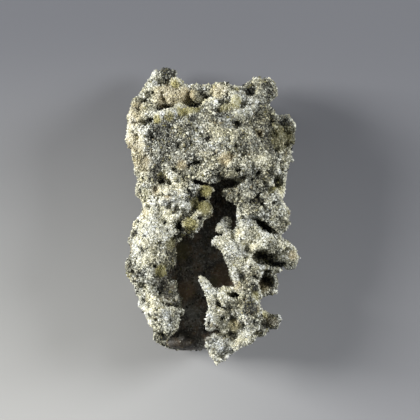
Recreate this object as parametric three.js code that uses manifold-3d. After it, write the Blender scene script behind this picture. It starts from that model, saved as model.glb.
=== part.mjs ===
// A fulgurite: a short, thick-walled tube of sand that a lightning strike fused, broken at both ends.
//
// It lies on its back. +Y runs along the tube towards its torn mouth, +X runs across it, and +Z points
// away from the surface it rests on, out of the side where the wall has broken open into a window.
// The sand grains and the glass are fused into one body, so the group holds a single mesh.
// All sizes are in millimetres.

import * as THREE from 'three';
import { ImprovedNoise } from 'three/addons/math/ImprovedNoise.js';
import { mergeVertices } from 'three/addons/utils/BufferGeometryUtils.js';
import Module from 'manifold-3d';

const wasm = await Module();
wasm.setup();

// ---- Driving dimensions ----

const LENGTH = 32; // from the torn peak of the mouth to the lowest tip; the whole body is scaled to it
const AXIS_HEIGHT = 6.4; // the tube's axis above the surface
const WALL_BOTTOM = -13.4; // where the tube's wall ends at the foot, before its broken tips
const WALL_TOP = 13.6; // and at the mouth

const CRUST_RELIEF = 0.68; // how far the crust swells and sinks on the tube's wall, at most
const CRUST_PERIOD = 2.9; // and over what distance
const LUMP_RELIEF = 0.4; // the same on a lump, as a share of its size
const LUMP_PERIOD_OFFSET = 0.4; // a lump's relief varies over its least half-width and this much more
const BORE_RELIEF = 0.12; // and on the bore, as a share of its size

const REST_LEVEL = 0; // the lumps on the back are worn flat at this height, and the body rests on them

// ---- The tube's wall: its edges and its thickness, each as [height along the tube, value] ----

const LEFT_EDGE = [
  [-13.4, -4.9], [-12.4, -5.6], [-11.0, -6.3], [-9.4, -7.1], [-7.6, -7.8], [-6.2, -8.6], [-4.6, -8.9],
  [-2.4, -8.4], [-0.4, -8.0], [0.8, -7.3], [2.0, -7.2], [3.2, -7.6], [5.0, -8.0], [7.0, -8.4],
  [8.4, -8.9], [10.4, -8.9], [12.2, -8.5], [13.6, -7.4],
];
const RIGHT_EDGE = [
  [-13.4, 3.8], [-12.6, 4.8], [-11.4, 5.6], [-9.8, 5.0], [-8.6, 5.2], [-7.4, 6.2], [-6.3, 6.3],
  [-5.2, 6.9], [-4.0, 7.4], [-2.6, 7.3], [-1.8, 6.9], [-0.6, 7.8], [0.6, 7.9], [2.2, 7.5],
  [4.0, 7.9], [5.6, 8.2], [7.2, 8.6], [9.0, 8.7], [10.4, 8.1], [11.4, 6.6], [12.6, 6.0], [13.6, 5.6],
];
const FRONT_THICKNESS = [
  [-13.4, 3.3], [-11.5, 4.2], [-8, 4.9], [-3, 5.3], [1, 5.3], [4, 5.8], [8, 6.3], [11, 5.6], [13.6, 4.4],
];
const BACK_THICKNESS = [
  [-13.4, 4.9], [-11, 5.7], [-7, 6.2], [-2, 6.0], [3, 5.9], [8, 6.2], [11, 6.0], [13.6, 5.2],
];

// ---- The bore: a glass-lined channel from the mouth to the foot ----

const BORE_AXIS = [
  [-2.1, -17, 6.5], [-2.0, -12, 6.5], [-1.0, -7, 6.4], [-0.6, -3, 6.4],
  [-0.6, 1, 6.5], [-2.4, 6.5, 6.6], [-3.1, 11, 6.5], [-3.2, 17, 6.4],
];
const BORE_WIDTH = 7.0;
const BORE_HEIGHT = 6.6;

// ---- The window: the outline of the hole in the front wall, and how deep it is cut ----

const WINDOW_OUTLINE = [
  [-2.1, 3.4], [0.3, 3.8], [2.9, 3.6], [2.4, 2.0], [2.9, 0.2], [2.7, -1.6], [1.4, -2.8], [1.8, -4.6],
  [2.8, -7.2], [1.0, -7.8], [-0.4, -8.4], [-0.5, -10.4], [-0.9, -13.0], [-1.3, -16.0], [-3.1, -16.0],
  [-3.3, -12.6], [-3.4, -9.2], [-3.9, -6.4], [-4.0, -3.2], [-3.0, -1.6], [-1.0, 0.4], [-0.9, 2.4],
];
const WINDOW_FLOOR = 7.2; // inside the bore
const WINDOW_CEILING = 20; // clear above the front wall

// ---- The mouth: the tube is torn off along a slope, lowest at the front wall ----

const TEAR_AT = [-2, 11.4, 11.2];
const TEAR_SLOPE = 0.56; // radians, how far the tear leans back from the front wall
const TEAR_TILT = 0.14; // radians, how far it rises towards the right

// ---- Lumps of fused sand on the wall. at: centre, size: half-widths ----

const CROWN = [
  { at: [-4.8, 13.8, 2.7], size: [1.9, 2.3, 1.2] }, // the torn peak
  { at: [-6.0, 13.4, 3.6], size: [0.8, 2.2, 1.0] }, // the blade beside it
  { at: [-7.2, 11.7, 4.4], size: [1.4, 1.4, 1.9] },
  { at: [-2.4, 12.9, 2.6], size: [1.6, 1.3, 1.2] },
  { at: [1.6, 12.2, 5.2], size: [2.5, 2.1, 2.4] },
  { at: [3.6, 12.4, 6.4], size: [1.7, 1.6, 2.3] },
  { at: [5.4, 13.6, 7.2], size: [1.6, 1.5, 1.7] }, // the knob at the right
];
const FRONT_WALL = [
  { at: [-3.8, 10.3, 9.8], size: [3.4, 1.1, 1.9] }, // the rim of the mouth
  { at: [1.4, 11.2, 9.4], size: [3.0, 1.5, 2.2] },
  { at: [1.4, 7.0, 9.8], size: [4.0, 3.0, 3.3] }, // the brow
  { at: [-5.0, 7.4, 8.8], size: [3.4, 3.2, 3.2] },
  { at: [6.3, 8.7, 8.0], size: [2.7, 2.8, 3.3] }, // the right shoulder
  { at: [5.2, 5.9, 9.0], size: [2.6, 2.2, 2.8] },
];
const LEFT_WALL = [
  { at: [-4.9, 3.0, 9.0], size: [2.7, 2.6, 3.2] },
  { at: [-3.2, 1.1, 9.3], size: [2.0, 2.2, 2.3] },
  { at: [-6.1, -3.6, 8.4], size: [2.6, 5.2, 4.1] },
  { at: [-4.9, -9.8, 7.8], size: [2.0, 2.8, 3.3] },
];
const RIGHT_WALL = [
  { at: [5.0, 2.9, 8.8], size: [2.7, 2.6, 3.4] },
  { at: [5.7, 0.2, 8.4], size: [2.6, 2.3, 3.1] },
  { at: [2.7, -2.5, 9.6], size: [1.6, 1.4, 1.9] },
  { at: [4.3, -4.3, 8.8], size: [1.8, 3.4, 3.0] },
  { at: [7.4, -4.1, 7.4], size: [1.9, 1.3, 1.8] }, // the finger that sticks out
  { at: [6.1, -7.5, 7.0], size: [0.9, 0.9, 1.6] },
  { at: [1.4, -9.2, 8.8], size: [2.0, 1.9, 2.3] },
  { at: [3.6, -9.6, 8.4], size: [2.0, 2.3, 2.8] },
  { at: [5.7, -11.2, 7.0], size: [1.5, 0.9, 1.5] }, // the short spur
];
const FOOT = [
  { at: [0.9, -13.9, 7.2], size: [1.8, 2.1, 2.4] }, // the lowest tip
  { at: [2.5, -12.4, 7.6], size: [2.6, 1.9, 2.8] },
  { at: [-2.9, -12.7, 2.8], size: [2.4, 1.2, 1.9] },
  { at: [0.8, -13.2, 3.6], size: [2.3, 1.4, 2.2] },
];
const BACK = [
  { at: [-3.9, 8.8, 2.6], size: [4.2, 3.8, 3.3] },
  { at: [3.9, 7.6, 2.5], size: [4.1, 4.2, 3.2] },
  { at: [-4.2, -6.4, 2.5], size: [4.2, 3.9, 3.2] },
  { at: [2.9, -8.0, 2.5], size: [3.4, 3.7, 3.2] },
  { at: [-4.9, 1.4, 3.2], size: [2.3, 3.2, 2.7] },
  { at: [5.2, -0.6, 3.4], size: [2.7, 3.2, 2.8] },
];

// ---- Hollows that were gas pockets or broke out of the crust ----

const HOLLOWS = [
  { at: [-6.8, 13.2, 8.4], size: [3.2, 2.5, 3.2] }, // the mouth's left side, broken lower than the rest
  { at: [6.3, -4.2, 9.3], size: [1.6, 0.9, 2.7] }, // the cave above the finger
  { at: [5.7, -6.5, 9.6], size: [0.8, 1.1, 2.8] },
  { at: [5.7, -1.0, 10.8], size: [1.1, 0.6, 1.8] },
  { at: [7.1, 3.8, 9.6], size: [0.6, 1.0, 2.2] },
  { at: [4.2, 13.8, 8.4], size: [0.5, 0.9, 1.9] }, // the slot beside the crown's knob
];

// ---- Facets ----

const SEGMENTS = { wallSides: 32, wallRings: 30, boreSides: 20, boreRings: 16 };
const LARGE_LUMP = { from: 2.5, detail: 2 }; // lumps at least this long get finer facets
const SMALL_LUMP_DETAIL = 1;
const CUTTER = 60; // the side of a block that cuts away everything beyond one of its faces
const WELD = 1e-4; // vertices nearer than this are one
const NOISE_ORIGIN = new THREE.Vector3(9.3, 4.7, 2.1);

// ---- Helpers ----

const noise = new ImprovedNoise();

// A smooth function through hand-placed [position, value] points in rising order.
function profile(points) {
  const curve = new THREE.CubicInterpolant(points.map((p) => p[0]), points.map((p) => p[1]), 1);
  return (position) => curve.evaluate(position)[0];
}

// Between -1 and 1, varying over about `period` millimetres.
function wander(point, period) {
  const place = point.clone().divideScalar(period).add(NOISE_ORIGIN);
  return noise.noise(place.x, place.y, place.z);
}

// Moves every vertex of a geometry to place(vertex), in place.
function moveVertices(geometry, place) {
  const position = geometry.attributes.position;
  const vertex = new THREE.Vector3();
  for (let i = 0; i < position.count; i += 1) {
    vertex.fromBufferAttribute(position, i);
    place(vertex);
    position.setXYZ(i, vertex.x, vertex.y, vertex.z);
  }
  return geometry;
}

// A closed geometry as a solid that can be joined and cut.
function solid(geometry) {
  geometry.deleteAttribute('normal');
  geometry.deleteAttribute('uv');
  const merged = mergeVertices(geometry, WELD);
  const mesh = new wasm.Mesh({
    numProp: 3,
    vertProperties: Float32Array.from(merged.attributes.position.array),
    triVerts: Uint32Array.from(merged.index.array),
  });
  return new wasm.Manifold(mesh);
}

// A solid back as a geometry.
function geometryOf(body) {
  const mesh = body.getMesh();
  const geometry = new THREE.BufferGeometry();
  geometry.setAttribute('position', new THREE.BufferAttribute(mesh.vertProperties, 3));
  geometry.setIndex(new THREE.BufferAttribute(mesh.triVerts, 1));
  return geometry;
}

// ---- The body's own shapes ----

// The thick wall before it is hollowed: a cylinder along Y whose sections follow the edge profiles.
function wall() {
  const left = profile(LEFT_EDGE);
  const right = profile(RIGHT_EDGE);
  const front = profile(FRONT_THICKNESS);
  const back = profile(BACK_THICKNESS);
  const cylinder = new THREE.CylinderGeometry(1, 1, 1, SEGMENTS.wallSides, SEGMENTS.wallRings);
  return solid(moveVertices(cylinder, (vertex) => {
    const y = THREE.MathUtils.lerp(WALL_BOTTOM, WALL_TOP, vertex.y + 0.5);
    const halfWidth = (right(y) - left(y)) / 2;
    const middle = (right(y) + left(y)) / 2;
    const depth = vertex.z > 0 ? front(y) : back(y);
    vertex.set(middle + halfWidth * vertex.x, y, AXIS_HEIGHT + depth * vertex.z);
    const swell = 1 + (CRUST_RELIEF / halfWidth) * wander(vertex, CRUST_PERIOD);
    vertex.x = middle + (vertex.x - middle) * swell;
    vertex.z = AXIS_HEIGHT + (vertex.z - AXIS_HEIGHT) * swell;
  }));
}

// The channel through the tube.
function bore() {
  const axis = new THREE.CatmullRomCurve3(BORE_AXIS.map((p) => new THREE.Vector3(...p)));
  const cylinder = new THREE.CylinderGeometry(1, 1, 1, SEGMENTS.boreSides, SEGMENTS.boreRings);
  return solid(moveVertices(cylinder, (vertex) => {
    const centre = axis.getPoint(vertex.y + 0.5);
    const swell = 1 + BORE_RELIEF * wander(centre, CRUST_PERIOD);
    vertex.x = centre.x + (BORE_WIDTH / 2) * vertex.x * swell;
    vertex.z = centre.z + (BORE_HEIGHT / 2) * vertex.z * swell;
    vertex.y = centre.y;
  }));
}

// The broken-out part of the front wall.
function breakout() {
  const outline = new THREE.Shape(WINDOW_OUTLINE.map((p) => new THREE.Vector2(...p)));
  const depth = WINDOW_CEILING - WINDOW_FLOOR;
  const cut = new THREE.ExtrudeGeometry(outline, { depth, bevelEnabled: false });
  return solid(cut.translate(0, 0, WINDOW_FLOOR));
}

// A block whose near face is the slope along which the mouth is torn off.
function tear() {
  const block = new THREE.BoxGeometry(CUTTER, CUTTER, CUTTER);
  block.translate(0, CUTTER / 2, 0);
  block.rotateX(TEAR_SLOPE);
  block.rotateZ(TEAR_TILT);
  return solid(block.translate(...TEAR_AT));
}

// Everything below the level that the back rests at.
function underside() {
  const block = new THREE.BoxGeometry(CUTTER, CUTTER, CUTTER);
  return solid(block.translate(0, 0, REST_LEVEL - CUTTER / 2));
}

// A rough egg of fused sand, or the hollow that one leaves.
function lump({ at, size }) {
  const detail = Math.max(...size) < LARGE_LUMP.from ? SMALL_LUMP_DETAIL : LARGE_LUMP.detail;
  const egg = new THREE.IcosahedronGeometry(1, detail);
  const centre = new THREE.Vector3(...at);
  const reach = new THREE.Vector3(...size);
  const period = Math.min(...size) + LUMP_PERIOD_OFFSET;
  return solid(moveVertices(egg, (vertex) => {
    const onEgg = vertex.clone().multiply(reach).add(centre);
    const swell = 1 + LUMP_RELIEF * wander(onEgg, period);
    vertex.multiply(reach).multiplyScalar(swell).add(centre);
  }));
}

// ---- Putting it together ----

function fulgurite() {
  let body = wall().subtract(tear());
  for (const egg of [...CROWN, ...FRONT_WALL, ...BACK, ...FOOT]) {
    body = body.add(lump(egg));
  }
  body = body.subtract(breakout());
  for (const egg of [...LEFT_WALL, ...RIGHT_WALL]) {
    body = body.add(lump(egg));
  }
  body = body.subtract(bore());
  for (const egg of HOLLOWS) {
    body = body.subtract(lump(egg));
  }
  body = body.subtract(underside());

  const geometry = geometryOf(body);
  geometry.computeBoundingBox();
  const { min, max } = geometry.boundingBox;
  geometry.translate(-(min.x + max.x) / 2, -(min.y + max.y) / 2, -min.z);
  const scale = LENGTH / (max.y - min.y);
  return geometry.scale(scale, scale, scale);
}

const crust = new THREE.MeshStandardMaterial({ color: 0xb4b2a2, roughness: 0.85, metalness: 0 });

const specimen = new THREE.Mesh(fulgurite(), crust);
specimen.name = 'fulgurite';

const group = new THREE.Group();
group.add(specimen);

export default group;
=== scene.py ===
# %% [markdown]
# # A fulgurite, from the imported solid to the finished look
#
# Lightning that strikes sand melts a channel through it. What is left is a fulgurite: a short tube
# with a glassy bore and a crust of sand grains stuck in the glass. This lesson starts from a plain
# closed solid of the right size, turns it into a field of distances that can be sculpted with
# arithmetic, and ends with a knobbly mesh, over a hundred thousand grains and two materials.
#
# The first step loads the solid. Its bounding box is kept, because the finished piece has to be
# the same size.

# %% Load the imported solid
import itertools
import math

import bpy
import numpy as np
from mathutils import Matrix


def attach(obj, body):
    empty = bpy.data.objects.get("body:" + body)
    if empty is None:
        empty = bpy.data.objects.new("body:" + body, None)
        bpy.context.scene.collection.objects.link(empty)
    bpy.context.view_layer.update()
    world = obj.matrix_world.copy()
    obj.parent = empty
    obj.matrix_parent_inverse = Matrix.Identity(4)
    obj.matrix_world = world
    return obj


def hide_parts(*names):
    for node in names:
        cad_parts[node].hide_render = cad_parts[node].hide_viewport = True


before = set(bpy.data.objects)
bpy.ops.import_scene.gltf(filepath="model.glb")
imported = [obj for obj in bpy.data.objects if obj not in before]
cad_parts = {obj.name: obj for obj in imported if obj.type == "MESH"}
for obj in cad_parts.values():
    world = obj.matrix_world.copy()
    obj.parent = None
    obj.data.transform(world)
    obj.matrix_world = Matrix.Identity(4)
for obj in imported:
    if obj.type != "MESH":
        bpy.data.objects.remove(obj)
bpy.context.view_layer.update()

import openvdb

MM = 0.001  # everything below is thought of in millimetres, and Blender works in metres
NODE = "fulgurite"

# %% [markdown]
# ## Small helpers
#
# Each object is put in the scene in the same way. Each shader is wired in the same way too: an
# input takes a number, a colour or another node's output. So these steps are functions.

# %% Helpers for objects and shader nodes


def place_object(name, data):
    """A new object in the scene."""
    thing = bpy.data.objects.new(name, data)
    bpy.context.scene.collection.objects.link(thing)
    return thing


def new_material(name):
    """A material, its node tree and its shader."""
    material = bpy.data.materials.new(name)
    material.use_nodes = True
    return material, material.node_tree, material.node_tree.nodes["Principled BSDF"]


def feed(tree, socket, value):
    """Gives an input a number or a colour, or links it to another node's output."""
    if isinstance(value, bpy.types.NodeSocket):
        tree.links.new(value, socket)
    else:
        socket.default_value = value


def blend(tree, factor, first, second, mode="MIX"):
    """A colour Mix node. Each operand is a socket or a colour."""
    node = tree.nodes.new("ShaderNodeMix")
    node.data_type = "RGBA"
    node.blend_type = mode
    for index, value in ((0, factor), (6, first), (7, second)):
        feed(tree, node.inputs[index], value)
    return node.outputs[2]


def ramp_between(tree, value, start, end):
    """0 below start, 1 above end."""
    node = tree.nodes.new("ShaderNodeMapRange")
    node.interpolation_type = "SMOOTHSTEP"
    feed(tree, node.inputs["Value"], value)
    node.inputs["From Min"].default_value = start
    node.inputs["From Max"].default_value = end
    return node.outputs["Result"]


# %% [markdown]
# ## Camera, floor and light
#
# The specimen lies on its back on a pale floor, so the camera looks straight down on its open
# side, with the mouth of the tube at the top of the picture. A long lens keeps the near wall from
# looking larger than the far one. Two large soft lights stand left and right: light that skims
# across the crust is what makes a rough surface readable.

# %% Camera
CAMERA_HEIGHT = 250 * MM
VIEW_WIDTH = 45.0 * MM  # how much of the floor the picture spans, at the height of the tube's axis
AXIS_HEIGHT = 6.4
LOOK_AT = (-0.24 * MM, 0.82 * MM)
SENSOR = 36.0
NEAREST_SEEN = 10 * MM

camera_data = bpy.data.cameras.new("camera")
camera_data.sensor_width = SENSOR
camera_data.lens = SENSOR * (CAMERA_HEIGHT - AXIS_HEIGHT * MM) / VIEW_WIDTH
camera_data.clip_start = NEAREST_SEEN
camera = place_object("camera", camera_data)
camera.location = (*LOOK_AT, CAMERA_HEIGHT)
bpy.context.scene.camera = camera
bpy.context.scene.view_settings.view_transform = "Standard"
print("lens, mm:", round(camera_data.lens, 1))

# %% Floor
# The floor's colour fades across the picture as painted light: darker beyond the mouth, lightest beyond the
# foot on the left.
FLOOR_HALF = 1.5
FLOOR_FAR = (0.113, 0.117, 0.132, 1)  # beyond the mouth, painted darker as if less lit
FLOOR_NEAR = (0.225, 0.228, 0.241, 1)  # beyond the foot, painted lighter
FLOOR_LEFT = (0.385, 0.385, 0.378, 1)  # beyond the foot, on the left: a painted pool of light
FADE = 24 * MM

floor_mesh = bpy.data.meshes.new("floor")
corners = [(x * FLOOR_HALF, y * FLOOR_HALF, 0) for x, y in ((-1, -1), (1, -1), (1, 1), (-1, 1))]
floor_mesh.from_pydata(corners, [], [(0, 1, 2, 3)])
floor = place_object("floor", floor_mesh)
floor_material, paper, floor_shader = new_material("pale_floor")
place = paper.nodes.new("ShaderNodeSeparateXYZ")
feed(paper, place.inputs[0], paper.nodes.new("ShaderNodeTexCoord").outputs["Object"])


def painted_light_fade(axis, first, last):
    """Fades between two colours over the specimen's length: painted light on the floor."""
    return blend(paper, ramp_between(paper, place.outputs[axis], -FADE, FADE), first, last)


near_the_foot = painted_light_fade("X", FLOOR_LEFT, FLOOR_NEAR)
feed(paper, floor_shader.inputs["Base Color"], painted_light_fade("Y", near_the_foot, FLOOR_FAR))
floor_shader.inputs["Roughness"].default_value = 0.8
floor_mesh.materials.append(floor_material)

# %% Lights
AIM = (0, 0, AXIS_HEIGHT * MM)
SOFTBOX_SIZE = (0.16, 0.32)
SOFTBOX_ASIDE = 0.40
SOFTBOX_AT = (0.10, 0.19)  # towards the mouth, and above the floor
LEFT_POWER = 4.5
RIGHT_POWER = 2.8
SKY = (0.93, 0.96, 1.0, 1)
SKY_STRENGTH = 0.20


def soft_light(name, aside, power, tone):
    """A rectangular lamp that faces the specimen."""
    data = bpy.data.lights.new(name, "AREA")
    data.shape = "RECTANGLE"
    data.size, data.size_y = SOFTBOX_SIZE
    data.energy = power
    data.color = tone
    lamp = place_object(name, data)
    lamp.location = (aside, *SOFTBOX_AT)
    away = lamp.location - type(lamp.location)(AIM)
    lamp.rotation_euler = away.to_track_quat("Z", "Y").to_euler()
    lamp.visible_camera = False


soft_light("left softbox", -SOFTBOX_ASIDE, LEFT_POWER, (1.0, 0.99, 0.96))
soft_light("right softbox", SOFTBOX_ASIDE, RIGHT_POWER, (0.98, 0.99, 1.0))
world = bpy.data.worlds.new("studio")
world.use_nodes = True
sky = world.node_tree.nodes["Background"].inputs
sky["Color"].default_value = SKY
sky["Strength"].default_value = SKY_STRENGTH
bpy.context.scene.world = world
print("lamps:", LEFT_POWER, "and", RIGHT_POWER, "watts")

# %% [markdown]
# ## The solid as a field of distances
#
# A rock like this has no clean polygons to model by hand. A signed distance field suits it better:
# a box of voxels, each holding its distance to the surface, negative inside. Adding noise to the
# numbers roughens the surface, taking a minimum joins a lump, and a maximum cuts a hollow, without
# ever a face crossing another. OpenVDB, which ships with Blender, makes the field from the mesh
# and makes a mesh from the field again.

# %% Mesh to voxels
VOXEL = 0.215
BAND = 10  # voxels of true distance kept on either side of the surface
MARGIN = 1.2  # empty space around the solid

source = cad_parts[NODE].data
source.calc_loop_triangles()
points = np.empty(len(source.vertices) * 3, np.float32)
source.vertices.foreach_get("co", points)
triangles = np.empty(len(source.loop_triangles) * 3, np.int32)
source.loop_triangles.foreach_get("vertices", triangles)

points = (points / MM).reshape(-1, 3)
low_mm, high_mm = points.min(0), points.max(0)
transform = openvdb.createLinearTransform(voxelSize=VOXEL)
first_voxel = np.floor((low_mm - MARGIN) / VOXEL).astype(int)
last_voxel = np.ceil((high_mm + MARGIN) / VOXEL).astype(int)
corner_voxel = tuple(int(i) for i in first_voxel)


def distances_to(corner_points, **faces):
    """A voxel array of distances to a closed mesh. faces are triangles= or quads=."""
    grid = openvdb.FloatGrid.createLevelSetFromPolygons(
        corner_points.astype(np.float32),
        **{kind: rows.astype(np.uint32) for kind, rows in faces.items()},
        transform=transform,
        halfWidth=BAND,
    )
    values = np.zeros(tuple(last_voxel - first_voxel + 1), np.float32)
    grid.copyToArray(values, ijk=corner_voxel)
    return values


def surface_of(values):
    """The points and quads of the mesh where a voxel array passes through zero."""
    grid = openvdb.FloatGrid(float(values.max()))
    grid.transform = transform
    grid.copyFromArray(values, ijk=corner_voxel, tolerance=0.0)
    corner_points, quads = grid.convertToQuads(isovalue=0.0)
    return corner_points.astype(float), quads[:, ::-1].astype(int)


field = distances_to(points, triangles=triangles.reshape(-1, 3))
axes = [(first_voxel[a] + np.arange(field.shape[a])) * VOXEL for a in range(3)]
X, Y, Z = np.meshgrid(*axes, indexing="ij", sparse=True)
print("field:", field.shape, "from", field.min().round(2), "to", field.max().round(2))

# %% [markdown]
# ## Softening
#
# The solid is a union of separate eggs and its facets still show. Blurring the distances melts
# them into each other, as glass does. The blur is a multiplication by a Gaussian in frequency
# space, which NumPy does in a blink on a box this small.

# %% Blur the distances


def blurred(values, radius):
    """values, with everything smaller than about radius millimetres smoothed away."""
    spectrum = np.fft.rfftn(values)
    waves = [np.fft.fftfreq(n, VOXEL) for n in values.shape[:2]]
    waves.append(np.fft.rfftfreq(values.shape[2], VOXEL))
    fx, fy, fz = np.meshgrid(*waves, indexing="ij", sparse=True)
    spectrum *= np.exp(-2 * (math.pi * radius) ** 2 * (fx * fx + fy * fy + fz * fz))
    return np.fft.irfftn(spectrum, s=values.shape).astype(np.float32)


SOFTENING = 0.38
field = blurred(field, SOFTENING)
print("softened over", SOFTENING, "mm")

# %% [markdown]
# ## Where the bore is
#
# Crust and glass are sculpted and coloured differently, so both the voxels and, later, the
# vertices have to know how far they are from the tube's channel. The channel is an ellipse that
# follows a gently bent axis: `bore_ratio` is below 1 inside it and above 1 in the wall.

# %% The bore as a function of place
BORE_AXIS_Y = [-17, -12, -7, -3, 1, 6.5, 11, 17]
BORE_AXIS_X = [-2.1, -2.0, -1.0, -0.6, -0.6, -2.4, -3.1, -3.2]
BORE_AXIS_Z = 6.5
BORE_HALF_WIDTH = 3.5
BORE_HALF_HEIGHT = 3.3


def bore_ratio(x, y, z):
    """Distance from the bore's axis as a share of its half-width in that direction."""
    axis_x = np.interp(y, BORE_AXIS_Y, BORE_AXIS_X)
    across = (x - axis_x) / BORE_HALF_WIDTH
    up = (z - BORE_AXIS_Z) / BORE_HALF_HEIGHT
    return np.sqrt(across * across + up * up)


def rise(value, start, end):
    """0 below start, 1 above end, and an even curve between."""
    t = np.clip((value - start) / (end - start), 0, 1)
    return t * t * (3 - 2 * t)


crust = rise(bore_ratio(X, Y, Z), 1.08, 1.42).astype(np.float32)
added = np.zeros(field.shape, np.float32)  # 1 where sand is joined on later
paler = np.zeros(field.shape, np.float32)  # 1 where what is joined is paler than the rest
print("share of voxels in the crust:", crust.mean().round(2))

# %% [markdown]
# ## Sculpting the marks
#
# This rock has its own marks: a torn crown, a brow over the window, knobs and caves down the right
# side. Noise would give any rock, so these are placed one by one. Each is an egg or a bent rod that
# is joined or cut, with a rounded seam. Where only x and y are known, the height is looked up.

# %% Tools for lumps and hollows
SEAM = 0.24  # how far a joint between two shapes is rounded


def voxels_near(low, high):
    """The part of the field between two corners, as slices, and the places of its voxels."""
    window = []
    for axis in range(3):
        first, last = np.searchsorted(axes[axis], (low[axis] - 2 * SEAM, high[axis] + 2 * SEAM))
        window.append(slice(int(first), int(last)))
    places = [axes[a][window[a]] for a in range(3)]
    return tuple(window), np.meshgrid(*places, indexing="ij", sparse=True)


def egg(centre, size, turn):
    """An egg's window of voxels and the distance to its surface. turn is in degrees about Z."""
    reach = max(size)
    window, (x, y, z) = voxels_near([c - reach for c in centre], [c + reach for c in centre])
    x, y, z = x - centre[0], y - centre[1], z - centre[2]
    c, s = math.cos(math.radians(turn)), math.sin(math.radians(turn))
    u, v = c * x + s * y, c * y - s * x
    ratio = np.sqrt((u / size[0]) ** 2 + (v / size[1]) ** 2 + (z / size[2]) ** 2)
    return window, (ratio - 1) * min(size)


def rod(path, radius):
    """A bent rod's window of voxels and the distance to its surface. radius may taper."""
    path = np.array(path, float)
    radii = np.linspace(*(radius if isinstance(radius, tuple) else (radius, radius)), len(path))
    window, places = voxels_near(path.min(0) - radii.max(), path.max(0) + radii.max())
    distance = 99
    for start, end, r0, r1 in zip(path[:-1], path[1:], radii[:-1], radii[1:], strict=True):
        step = end - start
        from_start = [places[a] - start[a] for a in range(3)]
        t = sum(from_start[a] * step[a] for a in range(3)) / (step @ step)
        t = np.clip(t, 0, 1)
        gap = sum((from_start[a] - t * step[a]) ** 2 for a in range(3))
        distance = np.minimum(distance, np.sqrt(gap) - r0 - t * (r1 - r0))
    return window, distance


def joined(window, distance, sand=True, pale=0):
    before = field[window]
    overlap = np.clip(SEAM - np.abs(before - distance), 0, None)
    field[window] = np.minimum(before, distance) - overlap * overlap / (4 * SEAM)
    paler[window] = np.maximum(paler[window], pale * (1 - rise(distance, 0.1, 0.5)))
    if sand:
        added[window] = np.maximum(added[window], 1 - rise(distance, 0.1, 0.7))


def removed(window, distance):
    before = field[window]
    overlap = np.clip(SEAM - np.abs(before + distance), 0, None)
    field[window] = np.maximum(before, -distance) + overlap * overlap / (4 * SEAM)


def join(centre, size, turn=0, sand=True):
    joined(*egg(centre, size, turn), sand)


def cut(centre, size, turn=0):
    removed(*egg(centre, size, turn))


def join_rod(path, radius, pale=0):
    joined(*rod(path, radius), pale=pale)


def cut_rod(path, radius):
    removed(*rod(path, radius))


def surface_height(x, y):
    """The height of the topmost surface above the floor at x, y, in millimetres."""
    i = round(x / VOXEL) - first_voxel[0]
    j = round(y / VOXEL) - first_voxel[1]
    column = np.nonzero(field[i, j] < 0)[0]
    return axes[2][column[-1]] if len(column) else AXIS_HEIGHT


def top(x, y, lift=0.0):
    """The point of the topmost surface at x, y, raised by lift."""
    return x, y, surface_height(x, y) + lift


def on_top(path, lift=0.0):
    """Adds the height of the surface to each x, y of a path."""
    return [top(x, y, lift) for x, y in path]


clump_rng = np.random.default_rng(41)


def clump(place, half_widths, eggs=6):
    """A handful of small eggs fused together, about as large as one egg of these half-widths."""
    for _ in range(eggs):
        aside = clump_rng.uniform(-0.55, 0.55, 3) * half_widths
        size = clump_rng.uniform(0.40, 0.65, 3) * half_widths
        join(tuple(place + aside), tuple(size), clump_rng.uniform(0, 180))


# %% [markdown]
# The large shapes come first: what an outline traced around the specimen would show, then the
# crown at the mouth, the wall over the window and the window's two banks.

# %% The outline
join((-8.4, 9.8, 6.0), (0.75, 2.3, 3.2))  # the left shoulder
join((8.2, 8.9, 6.0), (0.8, 2.1, 3.4))  # the right shoulder
join((7.9, 10.2, 6.2), (0.6, 0.5, 2.4))
join((8.2, 6.6, 6.0), (0.6, 0.8, 1.8))
cut((-9.1, 5.5, 6.0), (0.85, 1.5, 7.0))
cut((-8.6, 3.2, 6.0), (0.7, 0.9, 7.0))
cut((-8.6, 1.1, 6.0), (1.45, 1.6, 7.0))  # the waist above the left lobe
cut((8.0, 12.4, 6.5), (1.9, 1.0, 8.0))  # between the crown's knob and the right shoulder
cut((7.9, 13.8, 6.5), (0.8, 1.6, 8.0))
cut((-8.2, -12.0, 6.0), (1.7, 2.7, 9.0))
cut((8.0, -2.0, 6.5), (0.7, 0.35, 5.0))
cut((6.3, -9.2, 6.5), (1.15, 0.8, 6.0))
cut((4.0, -15.2, 6.0), (2.7, 1.3, 9.0), 30)
cut((7.7, -12.4, 6.0), (0.9, 0.9, 7.0))
cut((-1.3, -15.6, 7.5), (1.1, 1.2, 4.0))
join((7.5, -3.1, 6.4), (1.0, 0.75, 2.2))  # the finger
join((8.4, -4.0, 6.2), (0.65, 0.85, 1.8), 20)
join((6.9, -4.6, 4.2), (1.8, 1.2, 2.6))
join((5.9, -6.2, 4.4), (1.3, 1.1, 1.8))
join((6.2, -7.0, 6.2), (0.75, 1.1, 2.4))
join((6.2, -11.0, 6.6), (1.0, 0.7, 2.0), -14)  # the spur
join((5.5, -10.5, 6.6), (0.5, 0.5, 1.6))
join((5.2, -12.2, 6.4), (0.7, 0.5, 2.0))
join((0.9, -13.5, 8.6), (1.4, 1.1, 1.4))  # the foot's tip
join((-3.2, -13.5, 2.9), (2.6, 0.85, 1.3), sand=False)
print("outline done")

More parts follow.
